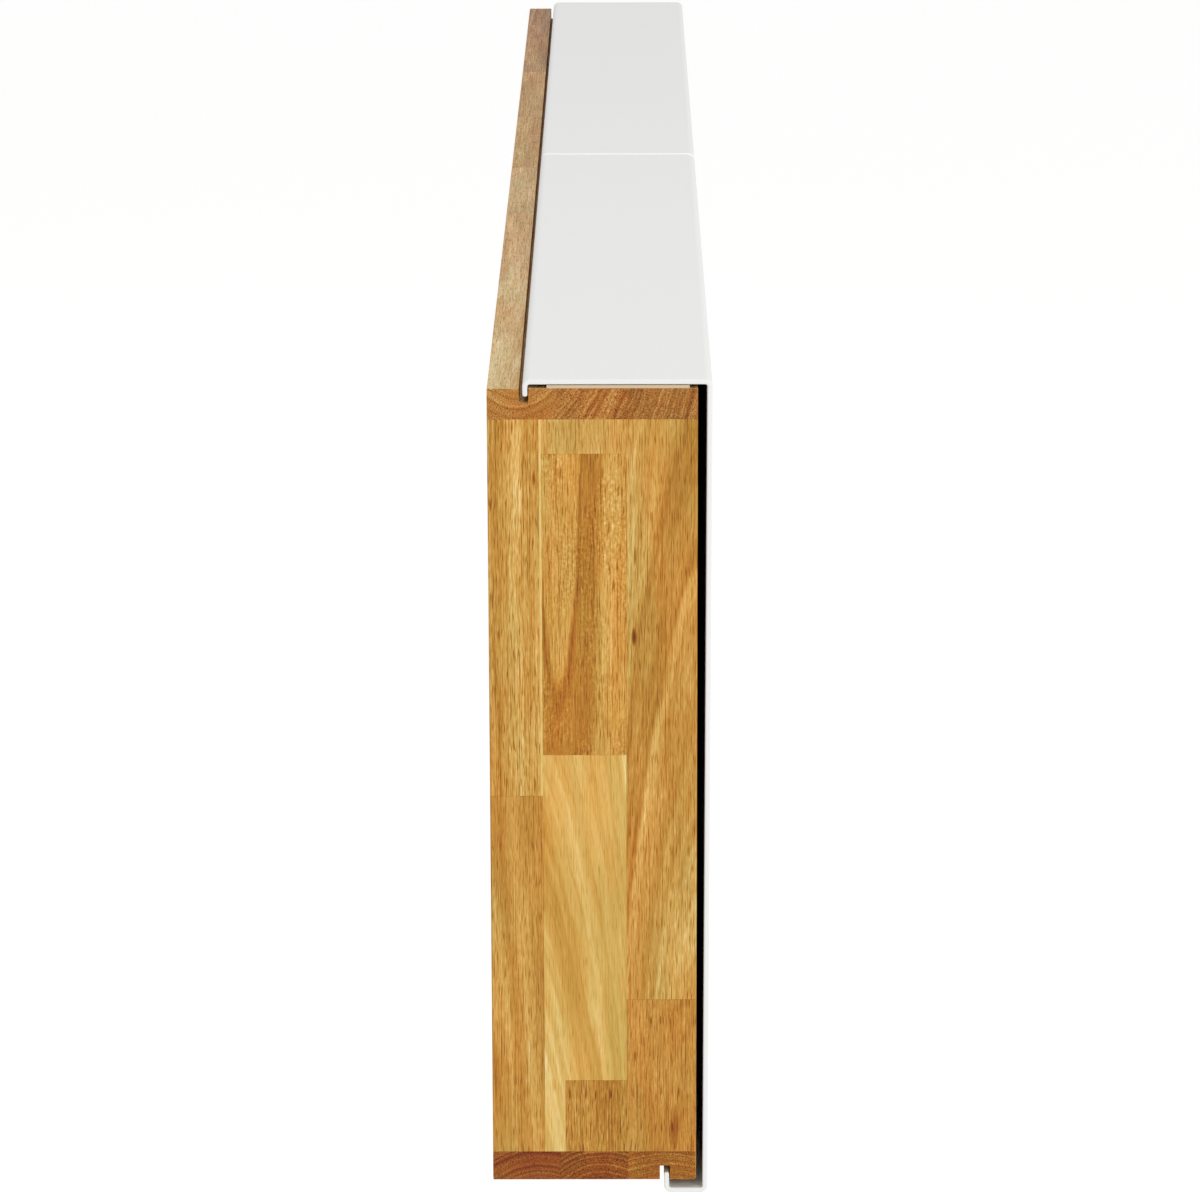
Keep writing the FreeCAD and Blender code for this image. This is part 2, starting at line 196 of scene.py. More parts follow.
def colour(red, green, blue):
    """A linear colour from display values of 0 to 255."""
    def linear(value):
        value /= 255
        return value / 12.92 if value <= 0.04045 else ((value + 0.055) / 1.055) ** 2.4
    return (linear(red), linear(green), linear(blue), 1.0)


# ---- wood ----

# A stave's tone is its display colour. Its pith runs at pith_across from the board's edge and
# pith_depth behind its face, and leans by that much per metre of length. rings, fibres and curl are
# the strength of each figure, and heart is the darker heartwood's inner and outer radius and strength.
Stave = namedtuple("Stave", "tone pith_across pith_depth lean rings fibres curl heart",
                   defaults=(1.0, 1.0, 0.0, (0.0, 0.0, 0.0)))

# A knot's middle is measured across and along the board, and dark is the strength of its stain.
Knot = namedtuple("Knot", "across along width length dark")

# Numbers are looked up as colours, so they are scaled and shifted into the range of 0 to 1.
TABLE_OFFSET = 0.5
TABLE_SCALE = 4

# Noise that is drawn out along the grain: cycles per metre along and across it, detail, roughness.
WIDE_WAVER = (4.0, 22.0)
FINE_WAVER = (26.0, 110.0)
CLOUDS = (9.0, 34.0, 2.0, 0.55)
FIBRES = (140.0, 1250.0, 1.5, 0.6)
THREADS = (20.0, 850.0, 2.0, 0.6)
HAIRLINES = (11.0, 1100.0, 0.5, 0.5)
PORES = (85.0, 1400.0, 0.5, 0.5)
CURL = (400.0, 640.0, 1.0, 0.6)
CURL_PATCHES = (16.0, 46.0, 1.0)
WARM_PATCHES = (7.0, 42.0, 2.0, 0.6)

# Noise that follows the growth rings: cycles per metre of radius and along the grain, and the same.
RING_BANDS = (105.0, 1.2, 2.0, 0.5)
RING_LINES = (420.0, 5.0, 3.0, 0.7)

# What each figure adds to the depth of the stain. The rings have one gain on long grain, and another
# number for how much more they add on end grain.
BANDS_GAIN, BANDS_MORE = 0.95, -0.35
LINES_GAIN, LINES_MORE = 0.85, 1.00
FIBRES_GAIN = 1.0
THREADS_GAIN = 0.85
PORES_GAIN = 0.65
HAIRLINES_GAIN = 0.45
CLOUDS_GAIN = 0.50
CURL_GAIN = 1.2
GLUE_GAIN = 0.22
LEAST_DEPTH = 0.4

WIDE_WAVER_REACH = 0.011
FINE_WAVER_REACH = 0.0030
GLUE_LINE = 0.00018           # the width of the joint beside a stave
GLUE_LINE_END = 0.00027       # the same at a stave's end
GLUE_RELIEF = -1.2
LOG_STEP = 3.17               # how far along the log the next stave is taken
LIKE_AXIS = 0.7               # a face looks along an axis when its normal has more than this of it

HEART_ONSET = 0.0012
HEART_FADE = 0.007
HEART_RIM = 0.0010            # the dark rim's place past the heart's inner radius
HEART_RIM_CORE = 0.0002
HEART_RIM_EDGE = 0.0012
HEART_RIM_GAIN = 0.6
KNOT_CORE = 0.3
KNOT_EDGE = 1.3
KNOT_FALL = -0.55             # how fast the rings close up again beside a knot

END_TINT = (0.60, 0.48, 0.40, 1.0)
COOL_HUE = (0.94, 1.03, 1.08, 1.0)
WARM_HUE = (1.06, 0.97, 0.90, 1.0)


def stave_group(name, columns):
    """A node group that turns a place on a board into the number of the stave there.

    A column is (where it starts across the board, its staves), and a stave is (where it starts along
    the board, its number).
    """
    tree = bpy.data.node_groups.new(name, "ShaderNodeTree")
    for socket in ("Across", "Along"):
        tree.interface.new_socket(socket, in_out="INPUT", socket_type="NodeSocketFloat")
    tree.interface.new_socket("Stave", in_out="OUTPUT", socket_type="NodeSocketFloat")
    graph = Graph(tree)
    inputs = tree.nodes.new("NodeGroupInput").outputs
    output = tree.nodes.new("NodeGroupOutput").inputs[0]

    def number_in(staves):
        number = float(staves[0][1])
        for (_, before), (start, after) in zip(staves, staves[1:]):
            if after != before:
                past = graph.math("GREATER_THAN", inputs["Along"], start)
                number = graph.math("MULTIPLY_ADD", past, float(after - before), number)
        return number

    result = number_in(columns[0][1])
    for start, staves in columns[1:]:
        here = number_in(staves)
        past = graph.math("GREATER_THAN", inputs["Across"], start)
        step = graph.math("SUBTRACT", here, result)
        result = graph.math("MULTIPLY_ADD", past, step, result)
    graph.feed(output, result)
    return tree


STAVE_WIDTH = 0.042
SHORTEST_STAVE = 0.18
LONGEST_STAVE = 0.42
LONGEST_START = 0.25          # the first stave is cut off by up to this much


def even_columns(width, length, stave_width, kinds, seed):
    """Columns of equal width, each a row of staves of uneven length."""
    dice = random.Random(seed)
    count = max(1, round(width / stave_width))
    columns = []
    for index in range(count):
        start = -dice.uniform(0.0, LONGEST_START)
        staves = []
        number = dice.randrange(kinds)
        while start < length:
            staves.append((start, number))
            start += dice.uniform(SHORTEST_STAVE, LONGEST_STAVE)
            number = (number + dice.randrange(1, kinds)) % kinds
        columns.append((index * width / count, staves))
    return columns


def plain_staves(palette, seed, **options):
    """One stave for each tone, each sawn from its own part of the log."""
    dice = random.Random(seed)
    return [Stave(tone, pith_across=dice.uniform(-0.12, 0.20), pith_depth=dice.uniform(0.02, 0.09),
                  lean=dice.uniform(-0.08, 0.08), **options) for tone in palette]


def wood(name, grain, across, face, columns, staves, end_tint=END_TINT, knots=(), hue_drift=1.0,
         sheen_free_tint=None):
    """Glued-up solid wood, cut from a solid pattern of growth rings, fibres and pores.

    grain, across and face are (axis, where it starts, direction of 1 or -1) of the board's length, of
    its stave columns and of its depth behind the face that shows. end_tint multiplies the colour of the
    end grain, and sheen_free_tint that of the long faces that don't look up, taking out the painted
    sheen that the base tones carry for the faces that look up. hue_drift is the strength of
    the drift between warm and cool patches.
    """
    material, graph, shader = new_material(name)
    place, facing = (graph.split(vector) for vector in graph.coordinates())

    def measured(axis, start, direction):
        offset = graph.math("SUBTRACT", place[axis], start)
        return offset if direction > 0 else graph.math("MULTIPLY", offset, -1.0)

    along, aside, behind = measured(*grain), measured(*across), measured(*face)
    tree = stave_group(name + "_staves", columns)

    def stave_at(shift_across, shift_along):
        node = graph.add("Group", node_tree=tree)
        graph.feed(node.inputs["Across"], graph.math("ADD", aside, shift_across))
        graph.feed(node.inputs["Along"], graph.math("ADD", along, shift_along))
        return node.outputs[0]

    stave = stave_at(0.0, 0.0)
    glue_steps = [graph.math("ABSOLUTE", graph.math("SUBTRACT", stave, stave_at(*shift)))
                  for shift in ((GLUE_LINE, 0.0), (0.0, GLUE_LINE_END))]
    glue_line = graph.math("GREATER_THAN", graph.total(*glue_steps), 0.5)
    place_in_table = graph.math("DIVIDE", graph.math("ADD", stave, 0.5), len(staves))

    def table(rows):
        """Looks up three numbers, each between -0.5 and 0.5, for the stave."""
        colours = [tuple(value + TABLE_OFFSET for value in row) + (1.0,) for row in rows]
        found = graph.split(graph.pick(place_in_table, colours))
        return [graph.math("SUBTRACT", found[axis], TABLE_OFFSET) for axis in "XYZ"]

    pith_across, pith_depth, lean = table([(s.pith_across, s.pith_depth, s.lean) for s in staves])
    strengths = [(s.rings / TABLE_SCALE, s.fibres / TABLE_SCALE, s.curl / TABLE_SCALE) for s in staves]
    ring_part, fibre_part, curl_part = table(strengths)
    heart_in, heart_out, heart_part = table([s.heart for s in staves])
    base = graph.pick(place_in_table, [colour(*s.tone) for s in staves])
    log_along = graph.math("MULTIPLY_ADD", stave, LOG_STEP, along)

    def grown(scale_along, scale_across, detail=2.0, roughness=0.5):
        """Noise that is drawn out along the grain, around 0."""
        drawn = graph.vector(graph.math("MULTIPLY", log_along, scale_along),
                             graph.math("MULTIPLY", aside, scale_across),
                             graph.math("MULTIPLY", behind, scale_across))
        return graph.math("SUBTRACT", graph.noise(drawn, 1.0, detail, roughness), 0.5)

    knot_mask, knot_bulge = 0.0, 0.0
    for knot in knots:
        off_across = graph.math("DIVIDE", graph.math("SUBTRACT", aside, knot.across), knot.width / 2)
        off_along = graph.math("DIVIDE", graph.math("SUBTRACT", along, knot.along), knot.length / 2)
        reach = graph.math("SQRT", graph.total(graph.math("MULTIPLY", off_across, off_across),
                                               graph.math("MULTIPLY", off_along, off_along)))
        spread = graph.remap(reach, KNOT_CORE, KNOT_EDGE, knot.dark, 0.0)
        knot_mask = graph.math("MAXIMUM", knot_mask, spread)
        bulge = graph.math("POWER", 2.0, graph.math("MULTIPLY", reach, KNOT_FALL))
        knot_bulge = graph.math("MULTIPLY_ADD", bulge, knot.width, knot_bulge)

    # How far each place is from the pith, on rings that waver along the log.
    waver = graph.total(graph.math("MULTIPLY", grown(*WIDE_WAVER), WIDE_WAVER_REACH),
                        graph.math("MULTIPLY", grown(*FINE_WAVER), FINE_WAVER_REACH))
    from_axis = graph.total(aside, graph.math("MULTIPLY", pith_across, -1.0), waver, knot_bulge)
    from_face = graph.total(behind, pith_depth, graph.math("MULTIPLY", along, lean))
    radius = graph.math("SQRT", graph.total(graph.math("MULTIPLY", from_axis, from_axis),
                                            graph.math("MULTIPLY", from_face, from_face)))

    def ringed(scale_radius, scale_along, detail, roughness):
        """Noise that follows the growth rings, around 0."""
        drawn = graph.vector(graph.math("MULTIPLY", radius, scale_radius),
                             graph.math("MULTIPLY", log_along, scale_along), stave)
        return graph.math("SUBTRACT", graph.noise(drawn, 1.0, detail, roughness), 0.5)

    end_grain = graph.math("GREATER_THAN", graph.math("ABSOLUTE", facing[grain[0]]), LIKE_AXIS)
    bands = ringed(*RING_BANDS)
    lines = ringed(*RING_LINES)
    onset = graph.remap(radius, heart_in, graph.math("ADD", heart_in, HEART_ONSET))
    fade = graph.remap(radius, heart_out, graph.math("ADD", heart_out, HEART_FADE), 1.0, 0.0)
    off_rim = graph.math("SUBTRACT", radius, graph.math("ADD", heart_in, HEART_RIM))
    rim = graph.remap(graph.math("ABSOLUTE", off_rim), HEART_RIM_CORE, HEART_RIM_EDGE, 1.0, 0.0)
    heart = graph.math("MULTIPLY_ADD", rim, HEART_RIM_GAIN, graph.math("MULTIPLY", onset, fade))
    clouds = grown(*CLOUDS)
    fibres = grown(*FIBRES)
    threads = grown(*THREADS)
    hairlines = graph.remap(grown(*HAIRLINES), 0.13, 0.22)
    pores = graph.remap(grown(*PORES), 0.10, 0.19)
    curl = graph.math("MULTIPLY", grown(*CURL), graph.remap(grown(*CURL_PATCHES), -0.12, 0.06))

    fibre_gain = graph.math("MULTIPLY", fibre_part, TABLE_SCALE)
    ring_gain = graph.math("MULTIPLY", ring_part, TABLE_SCALE)
    curl_gain = graph.math("MULTIPLY", curl_part, TABLE_SCALE * CURL_GAIN)
    ring_figure = graph.total(
        graph.math("MULTIPLY", bands, graph.math("MULTIPLY_ADD", end_grain, BANDS_MORE, BANDS_GAIN)),
        graph.math("MULTIPLY", lines, graph.math("MULTIPLY_ADD", end_grain, LINES_MORE, LINES_GAIN)),
    )
    fibre_figure = graph.total(
        graph.math("MULTIPLY", fibres, FIBRES_GAIN),
        graph.math("MULTIPLY", threads, THREADS_GAIN),
        graph.math("MULTIPLY", pores, PORES_GAIN),
        graph.math("MULTIPLY", hairlines, HAIRLINES_GAIN),
    )
    depth = graph.total(
        graph.math("MULTIPLY", ring_figure, ring_gain),
        graph.math("MULTIPLY", fibre_figure, fibre_gain),
        graph.math("MULTIPLY", clouds, CLOUDS_GAIN),
        graph.math("MULTIPLY", curl, curl_gain),
        graph.math("MULTIPLY", heart, heart_part),
        graph.math("MULTIPLY", glue_line, GLUE_GAIN),
        knot_mask,
    )
    # A deeper figure raises the wood's colour to a higher power, as a stain does.
    power = graph.math("MAXIMUM", graph.math("ADD", depth, 1.0), LEAST_DEPTH)
    long_grain = base
    # Painted sheen: a board given this tint has base tones paled for the faces that look up, and the tint
    # takes the paleness out again on its other long faces.
    if sheen_free_tint:
        sheen_painted_up = graph.math("GREATER_THAN", facing["Z"], LIKE_AXIS)
        long_grain = graph.mix(sheen_painted_up, graph.mix(1.0, base, sheen_free_tint, "MULTIPLY"), base)
    ended = graph.mix(end_grain, long_grain, graph.mix(1.0, base, end_tint, "MULTIPLY"))
    figured = graph.add("Gamma", {"Color": ended, "Gamma": power}).outputs[0]
    warmth = graph.remap(grown(*WARM_PATCHES), -0.16, 0.16)
    hue = graph.mix(warmth, COOL_HUE, WARM_HUE)
    figured = graph.mix(hue_drift, figured, hue, "MULTIPLY")
    graph.feed(shader.inputs["Base Color"], figured)
    graph.feed(shader.inputs["Roughness"], graph.math("MULTIPLY_ADD", threads, 0.3, 0.50))
    shader.inputs["Specular IOR Level"].default_value = 0.18
    relief = graph.total(graph.math("MULTIPLY", pores, -1.0), fibres,
                         graph.math("MULTIPLY", glue_line, GLUE_RELIEF))
    graph.feed(shader.inputs["Normal"], graph.bump(relief, distance=0.00010, strength=0.5))
    return material


# ---- other materials ----

# The doors' meeting ends carry a painted highlight: their cut faces are whiter up to this far from the
# cabinet's middle, and it fades out by this far.
SEAM_HIGHLIGHT_REACH, SEAM_HIGHLIGHT_FADE = 0.004, 0.006


def powder_coat(name):
    """White powder coat: a fine orange-peel skin, with a painted highlight on the two ends that meet in the
    middle.
    """
    material, graph, shader = new_material(name)
    place, facing = graph.coordinates()
    from_middle = graph.math("ABSOLUTE", graph.split(place)["X"])
    endwise = graph.math("ABSOLUTE", graph.split(facing)["X"])
    seam_highlight = graph.math("MULTIPLY", graph.remap(endwise, 0.3, 0.9),
                             graph.remap(from_middle, SEAM_HIGHLIGHT_REACH, SEAM_HIGHLIGHT_FADE, 1.0, 0.0))
    cloud = graph.noise(place, scale=3.5, detail=3.0, roughness=0.55)
    peel = graph.noise(place, scale=900.0, detail=2.0)
    grit = graph.noise(place, scale=2600.0, detail=1.0)
    speck = graph.remap(graph.noise(place, scale=420.0, detail=0.0), 0.80, 0.84)
    white = graph.mix(cloud, colour(207, 207, 206), colour(211, 211, 210))
    white = graph.mix(graph.math("MULTIPLY", speck, 0.12), white, colour(196, 194, 188))
    # painted highlight: the cut faces of the ends that meet in the middle are whitened to stand in for the
    # light on the seam between the doors
    white = graph.mix(seam_highlight, white, colour(240, 240, 239))
    graph.feed(shader.inputs["Base Color"], white)
    graph.feed(shader.inputs["Roughness"], graph.remap(cloud, 0.3, 0.7, 0.40, 0.50))
    shader.inputs["Specular IOR Level"].default_value = 0.4
    relief = graph.math("MULTIPLY_ADD", grit, 0.3, peel)
    graph.feed(shader.inputs["Normal"], graph.bump(relief, distance=0.00004, strength=0.6))
    return material


def glide_felt(name):
    """The pale low-friction strip: short pressed fibres."""
    material, graph, shader = new_material(name)
    place = graph.coordinates()[0]
    nap = graph.noise(place, scale=1400.0, detail=3.0, roughness=0.7)
    cloud = graph.noise(place, scale=60.0, detail=2.0)
    tone = graph.mix(nap, colour(178, 156, 126), colour(200, 180, 152))
    tone = graph.mix(graph.math("MULTIPLY", cloud, 0.25), tone, colour(182, 156, 122))
    graph.feed(shader.inputs["Base Color"], tone)
    shader.inputs["Roughness"].default_value = 0.9
    shader.inputs["Specular IOR Level"].default_value = 0.2
    graph.feed(shader.inputs["Normal"], graph.bump(nap, distance=0.0002, strength=0.7))
    return material


def soft_rubber(name):
    """Dark bumper pads with a faint moulded grain and dust."""
    material, graph, shader = new_material(name)
    place = graph.coordinates()[0]
    grain = graph.noise(place, scale=1800.0, detail=3.0, roughness=0.6)
    dust = graph.noise(place, scale=260.0, detail=2.0)
    graph.feed(shader.inputs["Base Color"], graph.mix(dust, colour(34, 33, 32), colour(58, 56, 53)))
    graph.feed(shader.inputs["Roughness"], graph.remap(grain, 0.3, 0.7, 0.6, 0.8))
    graph.feed(shader.inputs["Normal"], graph.bump(grain, distance=0.0001, strength=0.5))
    return material


def zinc_steel(name):
    """Zinc-plated pins with faint turning marks and a soft mottle."""
    material, graph, shader = new_material(name)
    place = graph.coordinates()[0]
    mottle = graph.noise(place, scale=320.0, detail=3.0, roughness=0.6)
    scratches = graph.noise(place, scale=3000.0, detail=2.0, roughness=0.7)
    graph.feed(shader.inputs["Base Color"], graph.mix(mottle, colour(176, 178, 180), colour(204, 205, 202)))
    graph.feed(shader.inputs["Roughness"], graph.remap(scratches, 0.3, 0.7, 0.28, 0.45))
    shader.inputs["Metallic"].default_value = 1.0
    graph.feed(shader.inputs["Normal"], graph.bump(scratches, distance=0.00002, strength=0.5))
    return material


def floor_paint(name):
    """The studio floor: matt white with a very faint cloudiness."""
    material, graph, shader = new_material(name)
    place = graph.coordinates()[0]
    cloud = graph.noise(place, scale=0.6, detail=3.0)
    graph.feed(shader.inputs["Base Color"], graph.mix(cloud, colour(253, 253, 252), colour(254, 254, 254)))
    shader.inputs["Roughness"].default_value = 0.9
    shader.inputs["Specular IOR Level"].default_value = 0.1
    return material


# ---- the boards' staves ----

# Heights of the end panel's stave ends above its foot, and how far its columns start from the back.
BACK_JOINT = 0.2330
FRONT_JOINT = 0.1007
MID_LOW_JOINT, MID_HIGH_JOINT, MID_TOP_JOINT = 0.0473, 0.2592, 0.4487
SAPWOOD_START = 0.0310
MID_COLUMN = 0.0326
LOW_MID_COLUMN = 0.0455
FRONT_COLUMN = 0.0838

END_STAVES = [
    Stave((180, 135, 61), -0.16, 0.050, 0.03, 1.1, 1.0),
    Stave((175, 130, 57), -0.03, 0.060, 0.05, 0.8, 0.72),
    Stave((183, 143, 72), 0.060, 0.030, 0.10, 0.6, 0.8, 0.3),
    Stave((185, 140, 65), 0.042, 0.0325, -0.06, 0.45, 0.9, 0.9, (0.0138, 0.023, 0.42)),
    Stave((190, 152, 78), 0.0, 0.066, 0.12, 1.35, 0.30),
    Stave((168, 120, 46), 0.100, 0.070, 0.03, 0.5, 1.05, 0.2),
    Stave((180, 136, 63), 0.140, 0.045, 0.09, 1.1, 0.75, 0.0, (0.080, 0.0845, 0.3)),
    Stave((173, 123, 50), 0.150, 0.080, 0.03, 0.7, 0.80, 0.2),
    Stave((202, 166, 94), -0.16, 0.050, 0.03, 0.5, 0.5),
]
PALE_BACK, LOW_BACK, TOP_MID, FIGURED, PALE_MID, LOW_MID, TALL_FRONT, LOW_FRONT, SAPWOOD = range(9)
END_KNOTS = (
    Knot(0.0885, 0.3340, 0.0028, 0.0100, 1.50),
    Knot(0.0890, 0.3850, 0.0012, 0.0110, 0.90),
    Knot(0.1130, 0.0160, 0.0050, 0.0260, 0.50),
    Knot(0.0150, 0.4650, 0.0012, 0.0080, 1.00),
    Knot(0.0280, 0.4340, 0.0016, 0.0080, 0.90),
)


def end_panel_columns():
    """The end panel's staves: three columns, with a thin strip of sapwood beside the first."""
    upper_mid = [(MID_HIGH_JOINT, FIGURED), (MID_TOP_JOINT, TOP_MID)]
    return [
        (0.0, [(0.0, LOW_BACK), (BACK_JOINT, PALE_BACK)]),
        (SAPWOOD_START, [(0.0, LOW_BACK), (BACK_JOINT, SAPWOOD)]),
        (MID_COLUMN, [(0.0, PALE_MID)] + upper_mid),
        (LOW_MID_COLUMN, [(0.0, LOW_MID), (MID_LOW_JOINT, PALE_MID)] + upper_mid),
        (FRONT_COLUMN, [(0.0, LOW_FRONT), (FRONT_JOINT, TALL_FRONT)]),
    ]


# The top board's tones are paler than its wood: a painted sheen, the light glancing off its top face, baked
# into the base colour.
TOP_STAVES = [
    Stave((187, 156, 103), 0.018, 0.014, 0.02, 0.9, 0.9),
    Stave((180, 146, 92), 0.002, 0.032, -0.05, 0.9, 0.9),
    Stave((177, 143, 92), 0.035, 0.0095, 0.04, 0.9, 0.9),
    Stave((177, 141, 88), -0.080, 0.060, 0.04, 0.9, 0.9),
    Stave((172, 133, 75), 0.100, 0.040, -0.03, 0.9, 0.9),
    # painted shade: these two staves are darkened for the strip's far end, where the light falls off
    Stave((156, 115, 62), -0.060, 0.050, 0.05, 0.9, 0.9),
    Stave((149, 107, 59), 0.080, 0.070, 0.02, 0.9, 0.9),
    Stave((171, 132, 76), 0.020, 0.045, -0.02, 0.9, 0.9),
]
BOTTOM_STAVES = [
    Stave((176, 122, 64), 0.030, 0.035, 0.02, 1.0, 0.8),
    Stave((184, 137, 66), 0.070, 0.025, 0.03, 1.0, 0.8),
    Stave((197, 154, 76), 0.110, 0.060, -0.04, 0.8, 0.8),
    Stave((190, 143, 74), -0.060, 0.050, 0.03, 1.0, 0.8),
    Stave((196, 150, 82), 0.020, 0.040, -0.02, 0.9, 0.8),
    Stave((182, 134, 68), 0.090, 0.070, 0.05, 1.0, 0.8),
    Stave((204, 160, 90), 0.050, 0.030, 0.02, 0.8, 0.8),
]
# Where each stave of the top board's strip starts along the board, and its number in TOP_STAVES. The
# darkest staves, 5 and 6, come last as painted shade where the light falls off towards the far end.
STRIP_STAVES = ((0.0, 0), (0.142, 1), (0.327, 3), (0.557, 2), (0.737, 4), (0.957, 7), (1.174, 5),
                (1.362, 6))
NEAR_END_STAVES = 3           # the first of BOTTOM_STAVES, which lie side by side at the near end
TOP_SEED, BOTTOM_SEED = 11, 23
INNER_PALETTE = (
    (200, 154, 84),
    (190, 143, 74),
    (208, 166, 96),
    (196, 147, 76),
    (212, 174, 108),
)
VENEER_PALETTE = ((216, 182, 128), (212, 177, 123), (218, 186, 134))
DOWEL_PALETTE = ((214, 176, 120), (208, 168, 112))


def top_board_columns():
    """The top board's staves: the first column is the strip that stays in sight behind the doors."""
    columns = even_columns(DEPTH, LENGTH, STAVE_WIDTH, len(TOP_STAVES), TOP_SEED)
    columns[0] = (0.0, STRIP_STAVES)
    for index in (1, 2):
        columns[index][1][0] = (0.0, index)
    return columns


def bottom_board_columns():
    """The bottom board's staves: three kept for the near end, the others along the rest."""
    kinds = len(BOTTOM_STAVES) - NEAR_END_STAVES
    columns = even_columns(DEPTH, LENGTH, STAVE_WIDTH, kinds, BOTTOM_SEED)
    columns = [(start, [(place, kind + NEAR_END_STAVES) for place, kind in staves])
               for start, staves in columns]
    for index in range(NEAR_END_STAVES):
        columns[index][1][0] = (0.0, index)
    return columns


def board_wood(node, grain, across, face, palette, seed, stave_width=STAVE_WIDTH, joined=True,
               hue_drift=1.0, **options):
    """Wood for a board with even staves, measured along the named axes from the node's low corner.

    A board that isn't joined has whole leaves from end to end, as a veneer has.
    """
    low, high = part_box(node)
    starts = dict(zip("XYZ", low))
    sizes = dict(zip("XYZ", high - low))
    columns = even_columns(sizes[across], sizes[grain], stave_width, len(palette), seed)
    if not joined:
        columns = [(start, [(0.0, staves[0][1])]) for start, staves in columns]
    axes = [(axis, starts[axis], 1) for axis in (grain, across, face)]
    return wood(node + "_wood", *axes, columns, plain_staves(palette, seed, **options),
                hue_drift=hue_drift)


# Directions in which wood is measured: the axis, where it starts and which way it runs.
from_left = ("X", TOP_LOW.x, 1)
from_back = ("Y", TOP_HIGH.y, -1)
from_panel_foot = ("Z", PANEL_LOW.z, 1)
below_top = ("Z", TOP_HIGH.z, -1)
above_bottom = ("Z", BOTTOM_LOW.z, 1)
inward = ("X", PANEL_LOW.x, 1)

TOP_END_TINT = (0.725, 0.47, 0.215, 1.0)
# Takes the painted sheen in the top board's pale tones out again on its faces that don't look up.
TOP_SHEEN_FREE_TINT = (1.40, 1.12, 0.55, 1.0)
BOTTOM_END_TINT = (0.503, 0.299, 0.119, 1.0)
materials = {
    "top_board": wood("top_board_wood", from_left, from_back, below_top, top_board_columns(), TOP_STAVES,
                      end_tint=TOP_END_TINT, sheen_free_tint=TOP_SHEEN_FREE_TINT),
    "bottom_board": wood("bottom_board_wood", from_left, from_back, above_bottom, bottom_board_columns(),
                         BOTTOM_STAVES, end_tint=BOTTOM_END_TINT),
    "left_end_panel": wood("left_panel_wood", from_panel_foot, from_back, inward, end_panel_columns(),
                           END_STAVES, knots=END_KNOTS),
}

# The other boards: the axes of their grain, columns and depth, and their seed.
INNER_BOARDS = (
    ("right_end_panel", "ZYX", 31),
    ("centre_divider", "ZYX", 41),
    ("hanging_rail", "XZY", 43),
    ("lower_rail", "XZY", 47),
    ("left_shelf", "XYZ", 53),
    ("right_shelf", "XYZ", 59),
)
for node, board_axes, seed in INNER_BOARDS:
    materials[node] = board_wood(node, *board_axes, INNER_PALETTE, seed)

VENEER_SEED = 61
LEAF_WIDTH = 0.24
back_veneer = {
    side: board_wood(f"{side}_back_panel", "Z", "X", "Y", VENEER_PALETTE, VENEER_SEED,
                     stave_width=LEAF_WIDTH, joined=False, hue_drift=0.2, rings=0.8, fibres=0.6)
    for side in ("left", "right")
}
steel_coat = powder_coat("white_powder_coat")
pin_steel = zinc_steel("zinc_steel")


# ---- meshes ----

SHARP_ANGLE = math.radians(40)
FLAT_ANGLE = math.radians(0.3)
BOARD_BEVEL_ANGLE = math.radians(60)
SHEET_BEVEL_ANGLE = math.radians(50)
SAME_POINT = 1e-6


def bake(piece):
    """Makes the piece's modifiers part of its mesh."""
    graph = bpy.context.evaluated_depsgraph_get()
    mesh = bpy.data.meshes.new_from_object(piece.evaluated_get(graph))
    piece.modifiers.clear()
    piece.data = mesh


def finished_mesh(piece):
    """Bakes the piece's modifiers, then shades it smooth with its large faces kept flat."""
    bake(piece)
    piece.data.shade_smooth()
    piece.data.set_sharp_from_angle(angle=SHARP_ANGLE)
    flat_faces = piece.modifiers.new("flat_faces", "WEIGHTED_NORMAL")
    flat_faces.keep_sharp = True
    bake(piece)


def soften(piece, width, segments, least_angle):
    """Rounds the piece's edges that are sharper than the angle."""
    bevel = piece.modifiers.new("soften", "BEVEL")
    bevel.width = width
    bevel.segments = segments
    bevel.limit_method = "ANGLE"
    bevel.angle_limit = least_angle
    bevel.harden_normals = False
    bevel.miter_outer = "MITER_ARC"


def stand_for(piece, node, material):
    """Puts the piece in the place of its CAD node, on the same body, with the given material."""
    piece.data.materials.clear()
    piece.data.materials.append(material)
    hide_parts(node)
    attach(piece, frame["nodes"][node]["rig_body"])


def link(name, mesh):
    """A new object in the scene."""
    piece = bpy.data.objects.new(name, mesh)
    bpy.context.scene.collection.objects.link(piece)
    return piece


def refined(node, edge_width, material, segments=2):
    """The CAD node's own shape with its flat faces joined up and its sharp edges softened."""
    shape = bmesh.new()
    shape.from_mesh(frame["nodes"][node].data)
    bmesh.ops.remove_doubles(shape, verts=shape.verts, dist=SAME_POINT)
    bmesh.ops.dissolve_limit(shape, angle_limit=FLAT_ANGLE, verts=shape.verts, edges=shape.edges)
    mesh = bpy.data.meshes.new(node + "_finished")
    shape.to_mesh(mesh)
    shape.free()
    for attribute in [a for a in mesh.attributes if a.name == "custom_normal"]:
        mesh.attributes.remove(attribute)
    piece = link(node + "_finished", mesh)
    soften(piece, edge_width, segments, BOARD_BEVEL_ANGLE)
    finished_mesh(piece)
    stand_for(piece, node, material)


